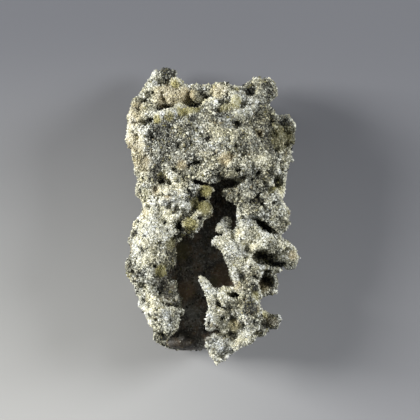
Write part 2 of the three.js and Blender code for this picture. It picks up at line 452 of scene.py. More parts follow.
# %% The crown
join_rod([(-7.7, 12.1, 4.8), (-7.0, 13.4, 3.9), (-6.3, 14.8, 3.2), (-6.0, 15.4, 3.0)], (0.8, 0.35))
join((-5.2, 15.4, 3.2), (0.8, 0.75, 0.9))  # its dark cap
join((-4.6, 15.4, 3.2), (0.7, 0.7, 0.9))
join((-4.1, 14.5, 3.8), (0.6, 0.6, 0.9))
join((-5.4, 13.4, 3.2), (1.3, 0.6, 0.9), -20)
join((-2.8, 13.4, 3.6), (0.9, 0.7, 1.1))
join((-1.8, 13.1, 4.8), (0.6, 0.9, 1.4))
join((-0.6, 13.2, 5.2), (0.8, 0.7, 1.6))
join((-1.5, 12.9, 6.2), (0.9, 0.8, 1.5))
join((0.8, 13.4, 6.0), (0.8, 0.7, 1.6))
join((1.9, 13.0, 7.0), (0.8, 0.6, 1.7))
join((3.2, 13.1, 7.0), (0.8, 0.6, 1.9))
join((4.3, 13.8, 4.4), (1.0, 0.8, 1.5))
join((5.5, 13.5, 6.6), (1.1, 1.5, 2.4))  # the knob
join((4.8, 14.5, 6.0), (0.55, 0.5, 1.2))
join_rod([(-8.2, 10.2, 7.4), (-8.2, 11.4, 6.4), (-7.9, 12.4, 5.0)], 0.7)
join((-6.8, 11.6, 7.0), (0.9, 0.8, 1.6))
join((-4.2, 12.9, 4.9), (2.8, 1.4, 2.1), -8)  # the floor of the mouth, choked with sand
print("crown done")

# %% The front wall above the window
rim = [(-8.0, 10.4), (-6.4, 10.9), (-5.0, 10.9), (-4.0, 11.2), (-3.0, 11.6), (-1.4, 11.8), (0.4, 12.0)]
join_rod(on_top(rim), 0.55)
join(top(1.4, 11.8), (1.2, 0.6, 0.6))
join(top(2.5, 12.4), (0.7, 0.8, 0.8))
join(top(5.3, 10.8), (1.1, 0.9, 0.8))
join(top(0.7, 10.5), (1.2, 0.7, 0.5))
join(top(-6.9, 2.6), (0.85, 0.7, 0.8))
cut(top(-5.4, 4.3, 0.5), (1.0, 0.9, 0.9))
join(top(6.2, 3.2), (0.7, 0.8, 0.8))
join(top(5.2, 5.8), (1.0, 0.6, 0.6))
print("front wall done")

# %% The window's banks
cut((-2.5, -3.0, 11.6), (2.7, 2.3, 3.2))
cut((-4.0, -3.2, 12.2), (1.25, 2.2, 2.4))  # a bevel that falls into the bore
join((-3.0, -1.5, 8.9), (0.9, 0.8, 0.9))
cut((-1.2, 1.4, 11.6), (0.8, 1.3, 1.5))
join((-0.95, 1.0, 9.6), (0.6, 0.8, 0.8))
join((-0.8, 2.9, 9.9), (0.6, 0.45, 0.5))
join((-2.2, -0.75, 9.8), (0.8, 0.6, 0.7), 20)
join((-5.6, -3.8, 10.6), (0.8, 1.0, 0.9))
cut((-4.2, -7.1, 12.2), (2.3, 2.5, 4.4), 8)  # down to a sloping sheet of glass
join_rod([(-4.9, -6.3, 8.0), (-4.5, -7.6, 7.7), (-4.1, -8.9, 7.5)], 0.85)
join((-5.2, -10.8, 9.3), (1.3, 1.2, 1.5))
join_rod([(1.4, 2.5, 9.7), (2.4, 2.1, 10.2), (3.4, 1.9, 10.7)], 0.75)
cut((2.1, 0.7, 10.8), (0.6, 1.0, 2.5))
cut((1.0, 2.0, 10.2), (0.55, 0.55, 2.5))
cut((1.6, 1.4, 10.4), (0.5, 0.5, 2.5))
join((1.3, -2.5, 10.3), (1.0, 0.6, 0.9))
join_rod([(3.6, 1.2, 11.1), (3.6, -0.4, 11.0), (3.3, -1.8, 11.1)], 0.55)
join((7.3, -0.3, 9.4), (0.9, 0.9, 1.1))
join_rod([(4.0, -1.8, 10.7), (5.2, -2.0, 10.4), (6.4, -2.2, 9.8)], 0.55)
cut((0.0, -12.0, 9.5), (0.5, 0.4, 2.0))
join((3.9, -9.5, 9.9), (0.9, 0.45, 0.8))
join((4.7, -8.5, 9.2), (0.5, 0.7, 0.9))
print("banks done")

# %% [markdown]
# Joining and cutting leaves numbers that are no longer true distances: they are too small around
# a long egg. Noise added to them would move the surface too far, and even raise lumps in the air
# beside it. Meshing the shape and measuring from the mesh again puts that right.

# %% Measure the distances again
rough_points, rough_quads = surface_of(field)
field = distances_to(rough_points, quads=rough_quads)
print("measured again:", len(rough_quads), "quads")

# %% [markdown]
# ## Clumps
#
# Sand melts into clumps before it melts into glass. Two kinds of noise make them. Smooth noise
# swells and sinks the wall. Cellular noise, the distance to the nearest of a scatter of points,
# gives round knobs with sharp creases between them, which is how fused grains gather. Both are
# seeded, so each run gives the same rock.

# %% Noise on the voxel box
CELLS = 16  # the scatter repeats after this many cells
near_surface = np.abs(field) < 2.0


def smooth_noise(period, seed):
    """Between about -1 and 1, varying over period millimetres."""
    rng = np.random.default_rng(seed)
    lengths = [int(n * VOXEL / period) + 3 for n in field.shape]
    values = rng.uniform(-1, 1, lengths)
    for axis in range(3):
        place = np.arange(field.shape[axis]) * VOXEL / period + rng.uniform(0, 0.9)
        cell = place.astype(int)
        shape = [1, 1, 1]
        shape[axis] = -1
        t = rise(place - cell, 0, 1).reshape(shape)
        values = np.take(values, cell, axis) * (1 - t) + np.take(values, cell + 1, axis) * t
    return values.astype(np.float32)


def knob_noise(period, seed, bend=0.5):
    """1 at the middle of a knob, falling to about 0 in the creases between knobs."""
    rng = np.random.default_rng(seed)
    scatter = rng.uniform(0.1, 0.9, (CELLS, CELLS, CELLS, 3)).astype(np.float32)
    turn = np.linalg.qr(rng.normal(size=(3, 3)))[0]
    places = []
    for axis in range(3):
        along = (turn[axis, 0] * X + turn[axis, 1] * Y + turn[axis, 2] * Z) / period
        along = along + bend * smooth_noise(period * 1.6, seed + 100 * axis) + 40
        places.append(along[near_surface].astype(np.float32))
    cells = [p.astype(int) for p in places]
    nearest = np.full(len(places[0]), 9, np.float32)
    for step in itertools.product((-1, 0, 1), repeat=3):
        index = [c + s for c, s in zip(cells, step, strict=True)]
        point = scatter[index[0] % CELLS, index[1] % CELLS, index[2] % CELLS]
        gap = sum((index[a] + point[:, a] - places[a]) ** 2 for a in range(3))
        nearest = np.minimum(nearest, gap)
    values = np.zeros(field.shape, np.float32)
    values[near_surface] = 1 - nearest / 0.6
    return values


swell = 0.32 * smooth_noise(3.4, 11) + 0.26 * smooth_noise(1.7, 12)
ridges = 0.26 * (1 - 3 * np.abs(smooth_noise(1.5, 15)))
knobs = 0.70 * knob_noise(2.3, 21) + 0.32 * knob_noise(1.25, 22)
crumbs = 0.10 * knob_noise(0.75, 23, 0.6) + 0.12 * smooth_noise(0.9, 24) + 0.14 * smooth_noise(0.5, 25)
print("knobs rise up to", knobs.max().round(2), "mm")

# %% [markdown]
# The clumps go on now. The right side and the back are knobbly, while the left lobe and the band
# above the window are smoother, so the noise is turned down there. Its average over the surface is
# taken off first, so that the clumps don't fatten the wall.

# %% Roughen
CALM_SPOTS = [  # x, y, half-widths along and across
    (-1.5, 8.4, 5.0, 2.6), (-8.3, 10.4, 1.4, 2.6), (-5.2, 13.6, 2.8, 2.4),
]
calm = np.exp(-(((X + 6.4) / 2.6) ** 2) - ((Y + 2.4) / 3.4) ** 2 - ((Z - 10) / 5) ** 2)
for x, y, half_x, half_y in CALM_SPOTS:
    calm = np.maximum(calm, np.exp(-(((X - x) / half_x) ** 4) - ((Y - y) / half_y) ** 4))
sheet = np.exp(-(((X + 4.7 - 0.35 * (-7 - Y)) / 1.3) ** 4) - ((Y + 7.0) / 2.2) ** 4) * (Z > 5)
calm = np.maximum(calm, 1.5 * sheet)
facing_up = rise(Z, 5.0, 9.0)
crust = np.maximum(crust, added)
relief = swell + ridges + knobs
relief -= relief[np.abs(field) < VOXEL].mean() + 0.12
wildness = (1 - 0.62 * np.minimum(calm, 1.4)) * (1.30 - 0.40 * facing_up) * crust
field -= relief * wildness
field -= (0.26 * smooth_noise(1.6, 13) + 0.22 * smooth_noise(0.7, 14)) * (1 - crust)
print("roughened")

# %% [markdown]
# Thin edges of a fulgurite snap off between the clumps, and sharp marks would drown in the noise.
# So the breaks, the small lumps and the thin edges are made after the clumps. A lump made of a
# handful of small eggs looks fused. A single egg looks like a ball.

# %% Where the edges have broken away
BREAK_HEIGHT = 9.0  # tall enough to cut right through
BREAKS = [  # x, y, half-widths along and across, for some a turn
    (-9.9, 8.8, 0.8, 0.9), (-9.1, 5.8, 0.8, 1.7), (-8.8, 3.3, 0.95, 1.1), (-8.55, 1.1, 1.25, 1.5),
    (-8.8, -9.2, 1.05, 1.0), (-8.4, -10.8, 1.6, 1.3), (-7.55, -12.2, 1.5, 1.6),
    (-6.2, -14.3, 2.1, 0.7, -16), (3.7, -14.45, 2.6, 0.95, 28), (1.75, -15.75, 0.75, 0.75),
    (5.5, -13.7, 0.8, 0.9), (6.35, -9.15, 1.45, 1.05), (8.2, -1.85, 1.1, 0.45), (8.9, 1.6, 1.05, 1.4),
    (8.0, 13.2, 1.1, 1.7), (7.2, 12.0, 1.3, 1.0), (-1.2, -15.4, 1.7, 0.65, -57),
    (-9.9, 13.6, 1.6, 1.0, 35), (-7.65, 14.75, 0.9, 2.0, -26), (-2.6, 15.3, 1.15, 1.1),
    (8.4, -6.6, 1.4, 0.75), (-5.0, 16.95, 1.5, 0.8), (9.5, 11.1, 1.2, 1.2), (9.7, 5.9, 0.85, 1.0),
    (-10.0, -4.4, 0.8, 1.2), (7.75, -6.0, 0.6, 0.6), (7.75, -7.2, 0.85, 1.1), (9.05, 0.3, 0.95, 0.9),
    (8.1, -9.9, 1.1, 0.9), (2.7, 14.95, 1.35, 0.95), (-8.1, 13.95, 0.75, 0.72),
    (8.9, 11.9, 1.0, 0.95), (-9.15, 4.3, 0.85, 1.2), (8.4, 3.6, 0.7, 0.9), (9.3, 6.6, 0.85, 0.6),
]
for x, y, half_x, half_y, *turn in BREAKS:
    cut((x, y, AXIS_HEIGHT), (half_x, half_y, BREAK_HEIGHT), *turn)
print("breaks:", len(BREAKS))

# %% Lumps with a shape of their own
cut_rod(on_top([(-7.0, 9.9), (-6.2, 10.3), (-4.4, 10.4), (-3.2, 10.7)], 0.3), 0.42)
join_rod(on_top(rim, 0.2), 0.3, pale=0.7)  # the torn edge of the mouth
join_rod([(-7.4, 12.9, 4.8), (-6.9, 13.8, 4.3), (-6.4, 14.7, 3.9), (-6.15, 15.6, 3.6)], (0.6, 0.3), pale=0.6)
join((-5.6, 12.5, 6.2), (0.95, 0.5, 0.8), 8)
clump((-4.1, 14.4, 4.6), (0.65, 0.75, 0.8))
clump((-4.6, 15.4, 3.9), (0.75, 0.6, 0.7))
clump((-2.9, 13.0, 6.2), (1.3, 0.85, 1.0), 7)
cut_rod([(-6.7, 13.2, 5.6), (-6.1, 13.6, 5.2), (-5.4, 14.2, 5.0), (-5.2, 15.0, 4.6)], 0.24)
join(top(2.4, 12.2), (0.5, 0.7, 0.5))
join_rod(on_top([(3.1, 11.1), (4.0, 11.8), (5.0, 12.3)], 0.1), 0.2, pale=0.2)
clump((5.8, 13.4, 8.2), (0.8, 0.8, 0.7))
join_rod(on_top([(-4.7, 5.0), (-3.9, 3.8), (-3.3, 2.5)], 0.2), (0.38, 0.28), pale=0.8)
clump(top(-3.4, 1.3, -0.1), (1.4, 0.9, 0.5), 7)
clump((-0.7, 2.85, 10.2), (0.95, 0.5, 0.6), 7)
cut((-1.9, 1.3, 11.2), (0.5, 0.9, 1.1))
cut_rod([(-3.1, 0.15, 10.9), (-2.2, 0.15, 10.6), (-1.2, -0.15, 10.2)], 0.3)
clump((-0.95, 0.95, 9.9), (0.85, 0.85, 0.7), 8)
clump((-2.2, -0.75, 9.9), (0.95, 0.7, 0.7), 8)
cut((-2.6, -2.3, 10.0), (0.7, 0.5, 1.8))
cut((-1.4, -1.95, 9.8), (0.8, 0.45, 1.6))
join_rod([(1.6, 2.7, 10.5), (2.4, 2.15, 10.9), (3.4, 1.7, 11.1)], 0.55)
join((2.9, 1.6, 10.8), (0.6, 0.5, 0.6))
cut((0.7, 2.5, 9.9), (0.5, 0.8, 1.8))
cut((1.2, 1.9, 10.2), (0.5, 0.5, 2.5))
cut((1.7, 1.35, 10.4), (0.45, 0.45, 2.5))
cut((2.2, 0.8, 10.8), (0.5, 0.9, 2.5))
cut((2.0, -1.2, 10.4), (0.5, 0.5, 1.6))
cut((-0.3, -2.2, 10.3), (0.35, 0.6, 1.6))
join_rod([(1.8, -2.2, 9.9), (1.5, -1.5, 9.3), (0.85, -1.0, 9.5)], (0.5, 0.4), pale=0.7)
join((1.5, -0.5, 9.0), (0.5, 0.5, 0.5))
join((-5.4, -5.6, 9.9), (0.5, 0.7, 0.7))
join((-3.5, -10.1, 9.0), (0.5, 0.4, 0.8))
join_rod([(0.2, -7.9, 9.8), (1.3, -7.75, 9.8), (2.5, -7.8, 10.0)], 0.42)
join(top(6.2, 3.3, 0.1), (0.35, 0.5, 0.45))
join((7.0, -5.5, 7.4), (0.4, 0.35, 0.7))
join((5.2, -5.15, 8.8), (0.45, 0.25, 1.0), -30)
join((8.3, -5.1, 6.6), (0.55, 0.4, 0.7))
join((8.2, -3.4, 7.6), (0.6, 0.5, 0.7))
join_rod(on_top([(4.3, -7.9), (4.9, -7.4), (5.6, -7.6)]), 0.28)
join(top(3.9, -9.5, -0.3), (0.85, 0.5, 0.5))
join(top(2.4, -11.4), (0.6, 0.35, 0.35))
join_rod(on_top([(4.5, -11.6), (3.4, -12.4), (2.2, -13.5)]), 0.42)
join_rod([(0.5, -13.4, 8.5), (0.5, -14.5, 8.1), (0.55, -15.7, 7.8)], (1.1, 0.2), pale=0.3)  # the tip
join((1.75, -13.6, 8.5), (0.6, 0.8, 0.8))
join((-1.7, -13.9, 2.6), (0.9, 0.5, 1.0), sand=False)
join((6.8, -10.8, 7.2), (0.5, 0.4, 0.9))
print("lumps done")

# %% Crumbs, then thin marks that the crumbs would have swallowed
cut((-1.0, -9.3, 10.0), (0.6, 0.9, 3.0))
join_rod([(0.4, -9.0, 10.1), (0.0, -8.1, 10.1), (-0.5, -7.3, 9.9), (-1.0, -6.6, 9.8)], (0.8, 0.28), pale=0.2)
crust = np.maximum(crust, added)
field -= (crumbs - 0.06) * (1 - 0.35 * np.minimum(calm, 1.5)) * crust
cut((-0.5, -11.0, 10.4), (0.35, 0.8, 2.0))
cut((-0.5, -12.2, 9.5), (0.6, 0.35, 2.5))
join_rod([(-0.9, -6.8, 9.9), (-1.25, -6.25, 9.8)], (0.3, 0.18), pale=0.2)
splinter = [(-0.4, -10.3, 10.4), (-0.6, -10.9, 10.3), (-0.65, -11.5, 10.2), (-0.2, -11.8, 10.0)]
join_rod(splinter, 0.15, pale=0.5)
join_rod([(-4.4, -6.8, 8.6), (-4.0, -8.0, 8.3), (-3.5, -9.1, 8.0)], 0.16, pale=0.5)
join_rod([(2.1, -5.4, 10.9), (2.5, -6.6, 10.7), (2.9, -7.6, 10.4)], 0.28, pale=0.6)
crust = np.maximum(crust, added)
print("thin marks done")

# %% [markdown]
# Pits come after the clumps, so that they stay open. The large ones are gas pockets and places
# where the crust has dropped out. A scatter of small ones, seeded, covers the whole crust. It
# leaves the flats that the specimen lies on, and the thin necks that a pit would cut through.

# %% Caves and grooves
cut((5.2, -4.2, 10.4), (1.25, 0.98, 4.0))  # the big cave
cut((6.3, -4.85, 9.6), (0.8, 0.42, 3.4))
cut((7.2, -4.95, 8.8), (0.8, 0.38, 3.0))
cut((5.8, -5.7, 9.8), (0.7, 0.32, 2.8))
cut((5.8, -6.7, 9.4), (0.8, 0.7, 3.0))
cut((5.5, -0.85, 9.6), (1.55, 0.5, 2.6), -36)  # the slanting slot
cut((1.8, 3.65, 10.4), (1.35, 0.66, 2.6))  # under the brow
cut((-1.5, 3.75, 10.9), (0.75, 0.34, 1.8), -10)
cut((-0.3, 3.55, 10.5), (0.9, 0.28, 1.8), -4)
cut((6.85, 3.85, 9.2), (0.68, 0.95, 2.8))
cut_rod(on_top([(4.6, 2.1), (5.0, 1.6), (5.5, 1.15)], -0.1), 0.34)
cut((4.45, 13.9, 8.0), (0.4, 1.0, 2.6), -8)
cut_rod([(3.9, 13.05, 8.6), (4.6, 13.15, 8.4)], 0.24)
cut((-5.0, 11.7, 9.0), (1.0, 0.42, 3.0), 4)
cut_rod([(-6.1, 11.95, 5.8), (-5.3, 11.5, 6.0), (-4.5, 11.5, 6.0), (-3.9, 11.95, 5.8)], 0.26)
cut(top(-3.5, -0.8), (0.46, 0.65, 1.4))
cut((-4.4, -5.85, 9.2), (0.6, 0.85, 2.8))  # a bay in the left bank
cut(top(2.1, -8.15), (0.75, 0.32, 0.6))
cut((-5.1, -9.1, 9.6), (0.6, 0.2, 1.6), -20)
cut((-4.1, -9.35, 9.0), (0.6, 0.2, 1.6), -5)
print("caves done")

# %% Pits placed one by one
PITS = [  # x, y, half-widths along and across, depth, and for some a turn
    (0.1, 13.2, 0.2, 0.38, 0.8), (1.5, 13.1, 0.22, 0.22, 0.5), (-6.5, 13.2, 0.25, 0.5, 0.8, -30),
    (-7.3, 12.5, 0.25, 0.25, 0.6), (2.6, 9.8, 0.55, 0.5, 0.9), (3.6, 10.5, 0.2, 0.25, 0.5),
    (7.9, 8.9, 0.55, 0.45, 0.9), (7.6, 7.7, 0.35, 0.3, 0.7), (7.4, 9.8, 0.4, 0.25, 0.7, 20),
    (6.7, 8.9, 0.3, 0.3, 0.6), (8.3, 7.5, 0.3, 0.4, 0.8), (6.2, 10.3, 0.25, 0.4, 0.6),
    (5.0, 8.9, 0.35, 0.25, 0.5), (2.4, 7.5, 0.35, 0.3, 0.6), (-3.7, 7.6, 0.28, 0.28, 0.6),
    (-6.3, 8.5, 0.35, 0.3, 0.5), (-0.4, 8.2, 0.4, 0.3, 0.5), (-1.6, 5.8, 0.55, 0.35, 0.7),
    (2.7, 5.0, 0.5, 0.35, 1.0), (3.3, 4.1, 0.35, 0.5, 0.9), (-2.5, 5.4, 0.3, 0.3, 0.6),
    (4.9, 4.8, 0.4, 0.25, 0.8), (4.2, 4.0, 0.3, 0.25, 0.7), (6.6, 1.7, 0.6, 0.28, 0.8, 35),
    (-4.0, 5.1, 0.3, 0.25, 0.7), (-5.2, 3.8, 0.35, 0.25, 0.8), (-6.5, 3.9, 0.3, 0.25, 0.7),
    (-6.8, 4.9, 0.3, 0.2, 0.6), (-5.9, 2.9, 0.35, 0.3, 0.6), (-4.6, 2.2, 0.35, 0.25, 0.6),
    (-7.6, 2.8, 0.3, 0.4, 0.8), (-7.1, 1.7, 0.3, 0.3, 0.8), (-6.6, 1.1, 0.28, 0.28, 0.7),
    (-3.9, 0.8, 0.4, 0.28, 0.7), (-5.0, -0.5, 0.3, 0.3, 0.7), (-7.8, -0.6, 0.3, 0.3, 0.8),
    (-8.1, -1.7, 0.35, 0.4, 0.9), (-4.7, -1.4, 0.25, 0.25, 0.6), (-5.6, -2.6, 0.3, 0.25, 0.5),
    (-8.4, -5.0, 0.4, 0.25, 0.8), (-8.3, -5.7, 0.3, 0.35, 0.8), (-7.8, -6.2, 0.4, 0.25, 0.8),
    (-8.1, -6.8, 0.4, 0.25, 0.8), (-6.1, -5.1, 0.35, 0.3, 1.0), (-7.1, -8.6, 0.3, 0.4, 0.7),
    (-6.5, -10.3, 0.4, 0.4, 0.6), (-5.8, -10.6, 0.25, 0.4, 0.6), (-4.5, -10.8, 0.25, 0.3, 0.6),
    (-5.3, -12.3, 0.6, 0.3, 0.9, -15), (-3.4, -10.3, 0.3, 0.3, 0.6), (-5.2, -11.5, 0.25, 0.25, 0.5),
    (3.9, -3.6, 0.3, 0.4, 0.7), (3.5, -4.2, 0.4, 0.25, 0.7), (4.5, -6.3, 0.4, 0.35, 1.0),
    (4.4, -7.5, 0.4, 0.5, 1.0), (6.2, -7.3, 0.35, 0.4, 0.8), (4.0, -5.2, 0.4, 0.25, 0.6),
    (2.5, -8.2, 0.45, 0.35, 0.8), (0.6, -9.1, 0.42, 0.32, 0.7), (1.6, -9.6, 0.5, 0.25, 0.6),
    (3.4, -8.6, 0.25, 0.2, 0.5), (1.1, -10.6, 0.38, 0.35, 0.7), (2.2, -10.7, 0.5, 0.3, 0.7),
    (3.3, -11.2, 0.25, 0.25, 0.5), (1.9, -12.5, 0.9, 0.45, 0.7), (4.5, -11.2, 0.4, 0.35, 0.6),
    (4.6, -12.2, 0.35, 0.35, 0.6), (0.7, -14.7, 0.3, 0.25, 0.5), (1.9, -14.6, 0.3, 0.35, 0.7),
]
for x, y, half_x, half_y, depth, *turn in PITS:
    cut(top(x, y, 0.1), (half_x, half_y, depth), *turn)
print("pits:", len(PITS))

# %% Small pits everywhere on the crust
SMALL_PITS = 560
rng = np.random.default_rng(5)
stout = blurred(field, 0.8) < 0.30  # mostly air around a thin neck, so its mean distance is high
skin = np.argwhere((np.abs(field) < VOXEL) & (crust > 0.95) & (Z > 0.8) & stout)
for i, j, k in skin[rng.choice(len(skin), SMALL_PITS, replace=False)]:
    radius = rng.uniform(0.14, 0.33)
    shape = radius * rng.uniform(0.7, 1.4, 3)
    cut((axes[0][i], axes[1][j], axes[2][k]), shape, rng.uniform(0, 180))
print("small pits:", SMALL_PITS)

# %% [markdown]
# ## Back to a mesh
#
# Carving can leave crumbs that float free and bubbles sealed inside the wall. Both are found by
# flooding: only what can be reached from the wall stays solid, and only what can be reached from
# outside stays air. The floor side is then planed off at height zero, so the specimen lies flat.

# %% Drop crumbs, fill bubbles, plane the resting side


def flood(open_voxels, start):
    """The part of open_voxels that can be reached from the voxel start."""
    found = np.zeros_like(open_voxels)
    found[start] = True
    while True:
        grown = found.copy()
        for axis in range(3):
            ahead = [slice(None)] * 3
            behind = [slice(None)] * 3
            ahead[axis], behind[axis] = slice(1, None), slice(None, -1)
            grown[tuple(ahead)] |= found[tuple(behind)]
            grown[tuple(behind)] |= found[tuple(ahead)]
        grown &= open_voxels
        if grown.sum() == found.sum():
            return found
        found = grown


field = np.maximum(field, -Z).astype(np.float32)
solid = field < 0
wall = flood(solid, np.unravel_index(np.argmin(field), field.shape))
outside = flood(~solid, (0, 0, 0))
field[solid & ~wall] = VOXEL
field[~solid & ~outside] = -VOXEL
print("crumbs:", int((solid & ~wall).sum()), "bubbles:", int((~solid & ~outside).sum()), "voxels")

# %% Voxels to mesh
rock_points, rock_quads = surface_of(field)


def mesh_object(name, corner_points, faces, material):
    """A new object from points in millimetres and rows of corner numbers."""
    mesh = bpy.data.meshes.new(name)
    mesh.vertices.add(len(corner_points))
    mesh.vertices.foreach_set("co", (corner_points * MM).astype(np.float32).ravel())
    mesh.loops.add(faces.size)
    mesh.loops.foreach_set("vertex_index", faces.astype(np.int32).ravel())
    mesh.polygons.add(len(faces))
    starts = np.arange(len(faces), dtype=np.int32) * faces.shape[1]
    mesh.polygons.foreach_set("loop_start", starts)
    mesh.update(calc_edges=True)
    mesh.validate()
    mesh.materials.append(material)
    return place_object(name, mesh)


print("rock:", len(rock_points), "points,", 2 * len(rock_quads), "triangles")

# %% [markdown]
# ## What colour each spot of the surface gets
#
# Six numbers describe a spot. *Glass* is 1 in the bore. *Hollow* is 1 at the bottom of a pit and
# 0 on top of a knob; it darkens the colour there as painted shade, standing also for dark glass
# between the grains. *Dark* marks the grey, glass-rich patches, and in places painted shade; pale
# patches lighten it, and some of them are painted light. *Tan* and *olive* mark the spots stained
# by iron and clay, and *warm* is a slight cast between bluish and cream. Patches listed one by one
# are soft spheres, and seeded noise fills in the sides and the back.

# %% Patches


def at_points(values, places):
    """Reads a voxel array at places in millimetres."""
    index = np.rint(places / VOXEL).astype(int) - first_voxel
    index = np.clip(index, 0, np.array(field.shape) - 1)
    return values[index[:, 0], index[:, 1], index[:, 2]]


# How deep a spot lies in a hollow, for the painted shade below.
hollow_shade_field = blurred(field, 0.55) - 0.4 * blurred(field, 1.3)
patch_noise = smooth_noise(2.6, 31) + 0.6 * smooth_noise(1.1, 32)
stain_noise = smooth_noise(2.0, 33) + 0.5 * smooth_noise(0.8, 34)
warm_noise = smooth_noise(1.5, 35) + 0.7 * smooth_noise(0.7, 36)

# Darker, glass-rich sand, and in places painted shade: under the brow, behind the knob at (1.7, -0.2), on
# the bore's shaded wall near (-4.3, -2.8), along the lower right fringe and round the foot.
DARK_PATCHES = [  # x, y, radius, strength
    (-5.4, 8.8, 2.0, 0.6), (0.9, 11.0, 1.1, 0.6), (6.9, 8.9, 2.4, 1.3), (-5.6, 4.4, 1.3, 0.9),
    (3.9, -9.5, 0.9, 0.8), (-1.9, 1.9, 0.7, 1.2), (-1.8, 0.9, 0.5, 1.1), (-2.8, 0.1, 0.6, 1.2),
    (-1.0, 2.1, 0.5, 1.2), (-1.5, 0.1, 0.5, 1.3), (1.7, -0.2, 0.6, 0.8), (-4.3, -2.8, 0.9, 1.4),
    (-4.2, -4.0, 0.9, 1.3), (5.0, 9.6, 1.4, 0.5), (5.4, 14.8, 0.7, 0.7), (-1.9, 13.2, 0.7, 0.6),
    (-3.4, -11.0, 0.9, 1.3), (-5.2, -12.4, 0.6, 1.2), (-3.4, -13.5, 1.8, 1.3), (4.8, -12.7, 0.8, 1.0),
    (-7.9, -0.6, 0.4, 1.5), (-8.1, -1.8, 0.5, 1.5), (-5.4, -5.6, 0.8, 0.5), (-4.7, 15.6, 1.0, 1.3),
    (6.1, 13.9, 1.2, 0.7), (-6.0, 8.9, 1.3, 0.9), (-0.2, 8.4, 0.8, 0.8), (2.2, 6.9, 0.7, 0.8),
    (-4.0, 0.8, 0.6, 0.8), (-2.4, 2.3, 0.9, 0.8), (-5.6, -3.2, 0.9, 0.8), (1.8, 2.4, 1.0, 0.6),
    (4.9, 1.7, 0.7, 1.2), (0.8, 4.7, 0.9, 0.6), (2.1, -8.2, 0.8, 1.2), (4.4, -7.5, 0.6, 1.3),
    (0.5, -9.1, 0.6, 1.1), (4.7, -12.9, 1.1, 1.4), (-3.5, -0.8, 0.9, 1.5), (-4.6, -2.4, 0.9, 1.4),
    (-4.9, -3.5, 0.7, 1.0), (-2.9, -1.6, 1.0, 1.4), (5.2, 3.9, 1.6, 0.4), (3.6, 7.4, 1.6, 0.5),
    (-2.4, 4.6, 0.9, 0.5), (5.3, 10.8, 1.2, 0.8), (5.4, -4.3, 1.4, 1.8), (7.1, -4.9, 0.8, 1.4),
    (5.8, -6.5, 1.3, 1.5), (5.3, -0.8, 1.2, 1.5), (7.0, 3.8, 0.8, 1.4), (4.3, 13.8, 0.7, 1.4),
    (-1.8, 3.6, 0.6, 1.2), (2.0, 3.7, 0.8, 1.2), (7.4, -0.2, 1.4, 0.1), (-4.9, 11.6, 0.9, 1.2),
    (-3.6, -2.2, 1.0, 0.7), (-5.0, -7.4, 1.5, 0.7), (-3.4, -0.8, 0.6, 1.2), (-5.1, -3.9, 0.9, 0.4),
    (6.3, -11.4, 1.0, 0.7), (2.0, -12.5, 0.9, 0.8), (2.6, 9.8, 0.7, 0.8),
]
# Paler sand, and in places painted light: the lit left side of the knob at (0.7, -1.0) and the foot's tip at
# (0.8, -13.9), which faces away from the lamps.
PALE_PATCHES = [
    (-5.4, 1.4, 2.4, 1.0), (3.5, 5.8, 0.7, 0.5), (6.2, 3.5, 0.5, 0.9), (2.3, -11.5, 0.6, 0.8),
    (-6.8, -2.4, 3.0, 0.7), (7.6, -3.0, 1.1, 0.5), (-5.6, -10.2, 2.2, 0.5), (0.8, -13.9, 2.2, 1.7),
    (-0.6, 8.2, 2.2, 0.5), (-2.6, -10.4, 1.8, 0.9), (-1.8, -7.6, 1.2, 0.6), (3.0, -3.6, 2.2, 0.5),
    (2.8, -12.8, 1.4, 0.9), (1.3, -7.7, 1.2, 0.6), (3.6, -10.7, 0.7, 0.6), (5.6, 13.4, 0.5, 0.6),
    (-3.2, 1.2, 1.2, 0.8), (0.8, 5.8, 1.4, 0.3), (3.3, 0.0, 1.5, 0.3), (5.0, 5.6, 1.2, 0.7),
    (0.2, -9.8, 1.4, 0.8), (0.7, -1.0, 0.6, 1.4), (-8.2, 9.6, 2.2, 0.9), (-3.9, 3.7, 1.0, 0.9),
    (-5.6, 12.6, 1.4, 0.4), (-6.3, 14.8, 1.0, 1.3), (7.6, 2.4, 0.9, 0.8), (-1.0, -6.8, 0.8, 0.9),
    (5.2, -2.0, 1.2, 0.6), (1.0, 13.8, 0.8, 0.3),
]
TAN_PATCHES = [
    (-8.2, 7.8, 1.4, 0.5), (-4.6, 13.4, 1.8, 0.6), (-2.7, 13.0, 1.1, 0.8), (0.6, 13.4, 1.1, 0.5),
    (-8.6, 10.6, 1.4, 0.5), (1.4, 6.1, 0.8, 0.9), (8.5, -4.0, 0.6, 0.8), (-5.4, 12.5, 0.9, 0.6),
    (2.6, -7.2, 0.6, 0.6), (2.4, -11.3, 0.7, 0.9), (-7.4, 5.9, 1.3, 0.5), (-3.2, 5.6, 0.6, 0.7),
    (5.4, -7.4, 0.8, 0.6), (-8.3, -3.2, 0.7, 0.5), (6.2, -10.9, 0.9, 0.25), (-5.9, 2.9, 0.7, 0.7),
    (5.0, 8.8, 0.6, 0.6), (-4.6, 2.2, 0.5, 0.7), (1.4, -6.4, 1.4, 0.9), (-2.8, -7.9, 1.3, 0.9),
    (-8.0, 11.6, 1.2, 0.5),
]
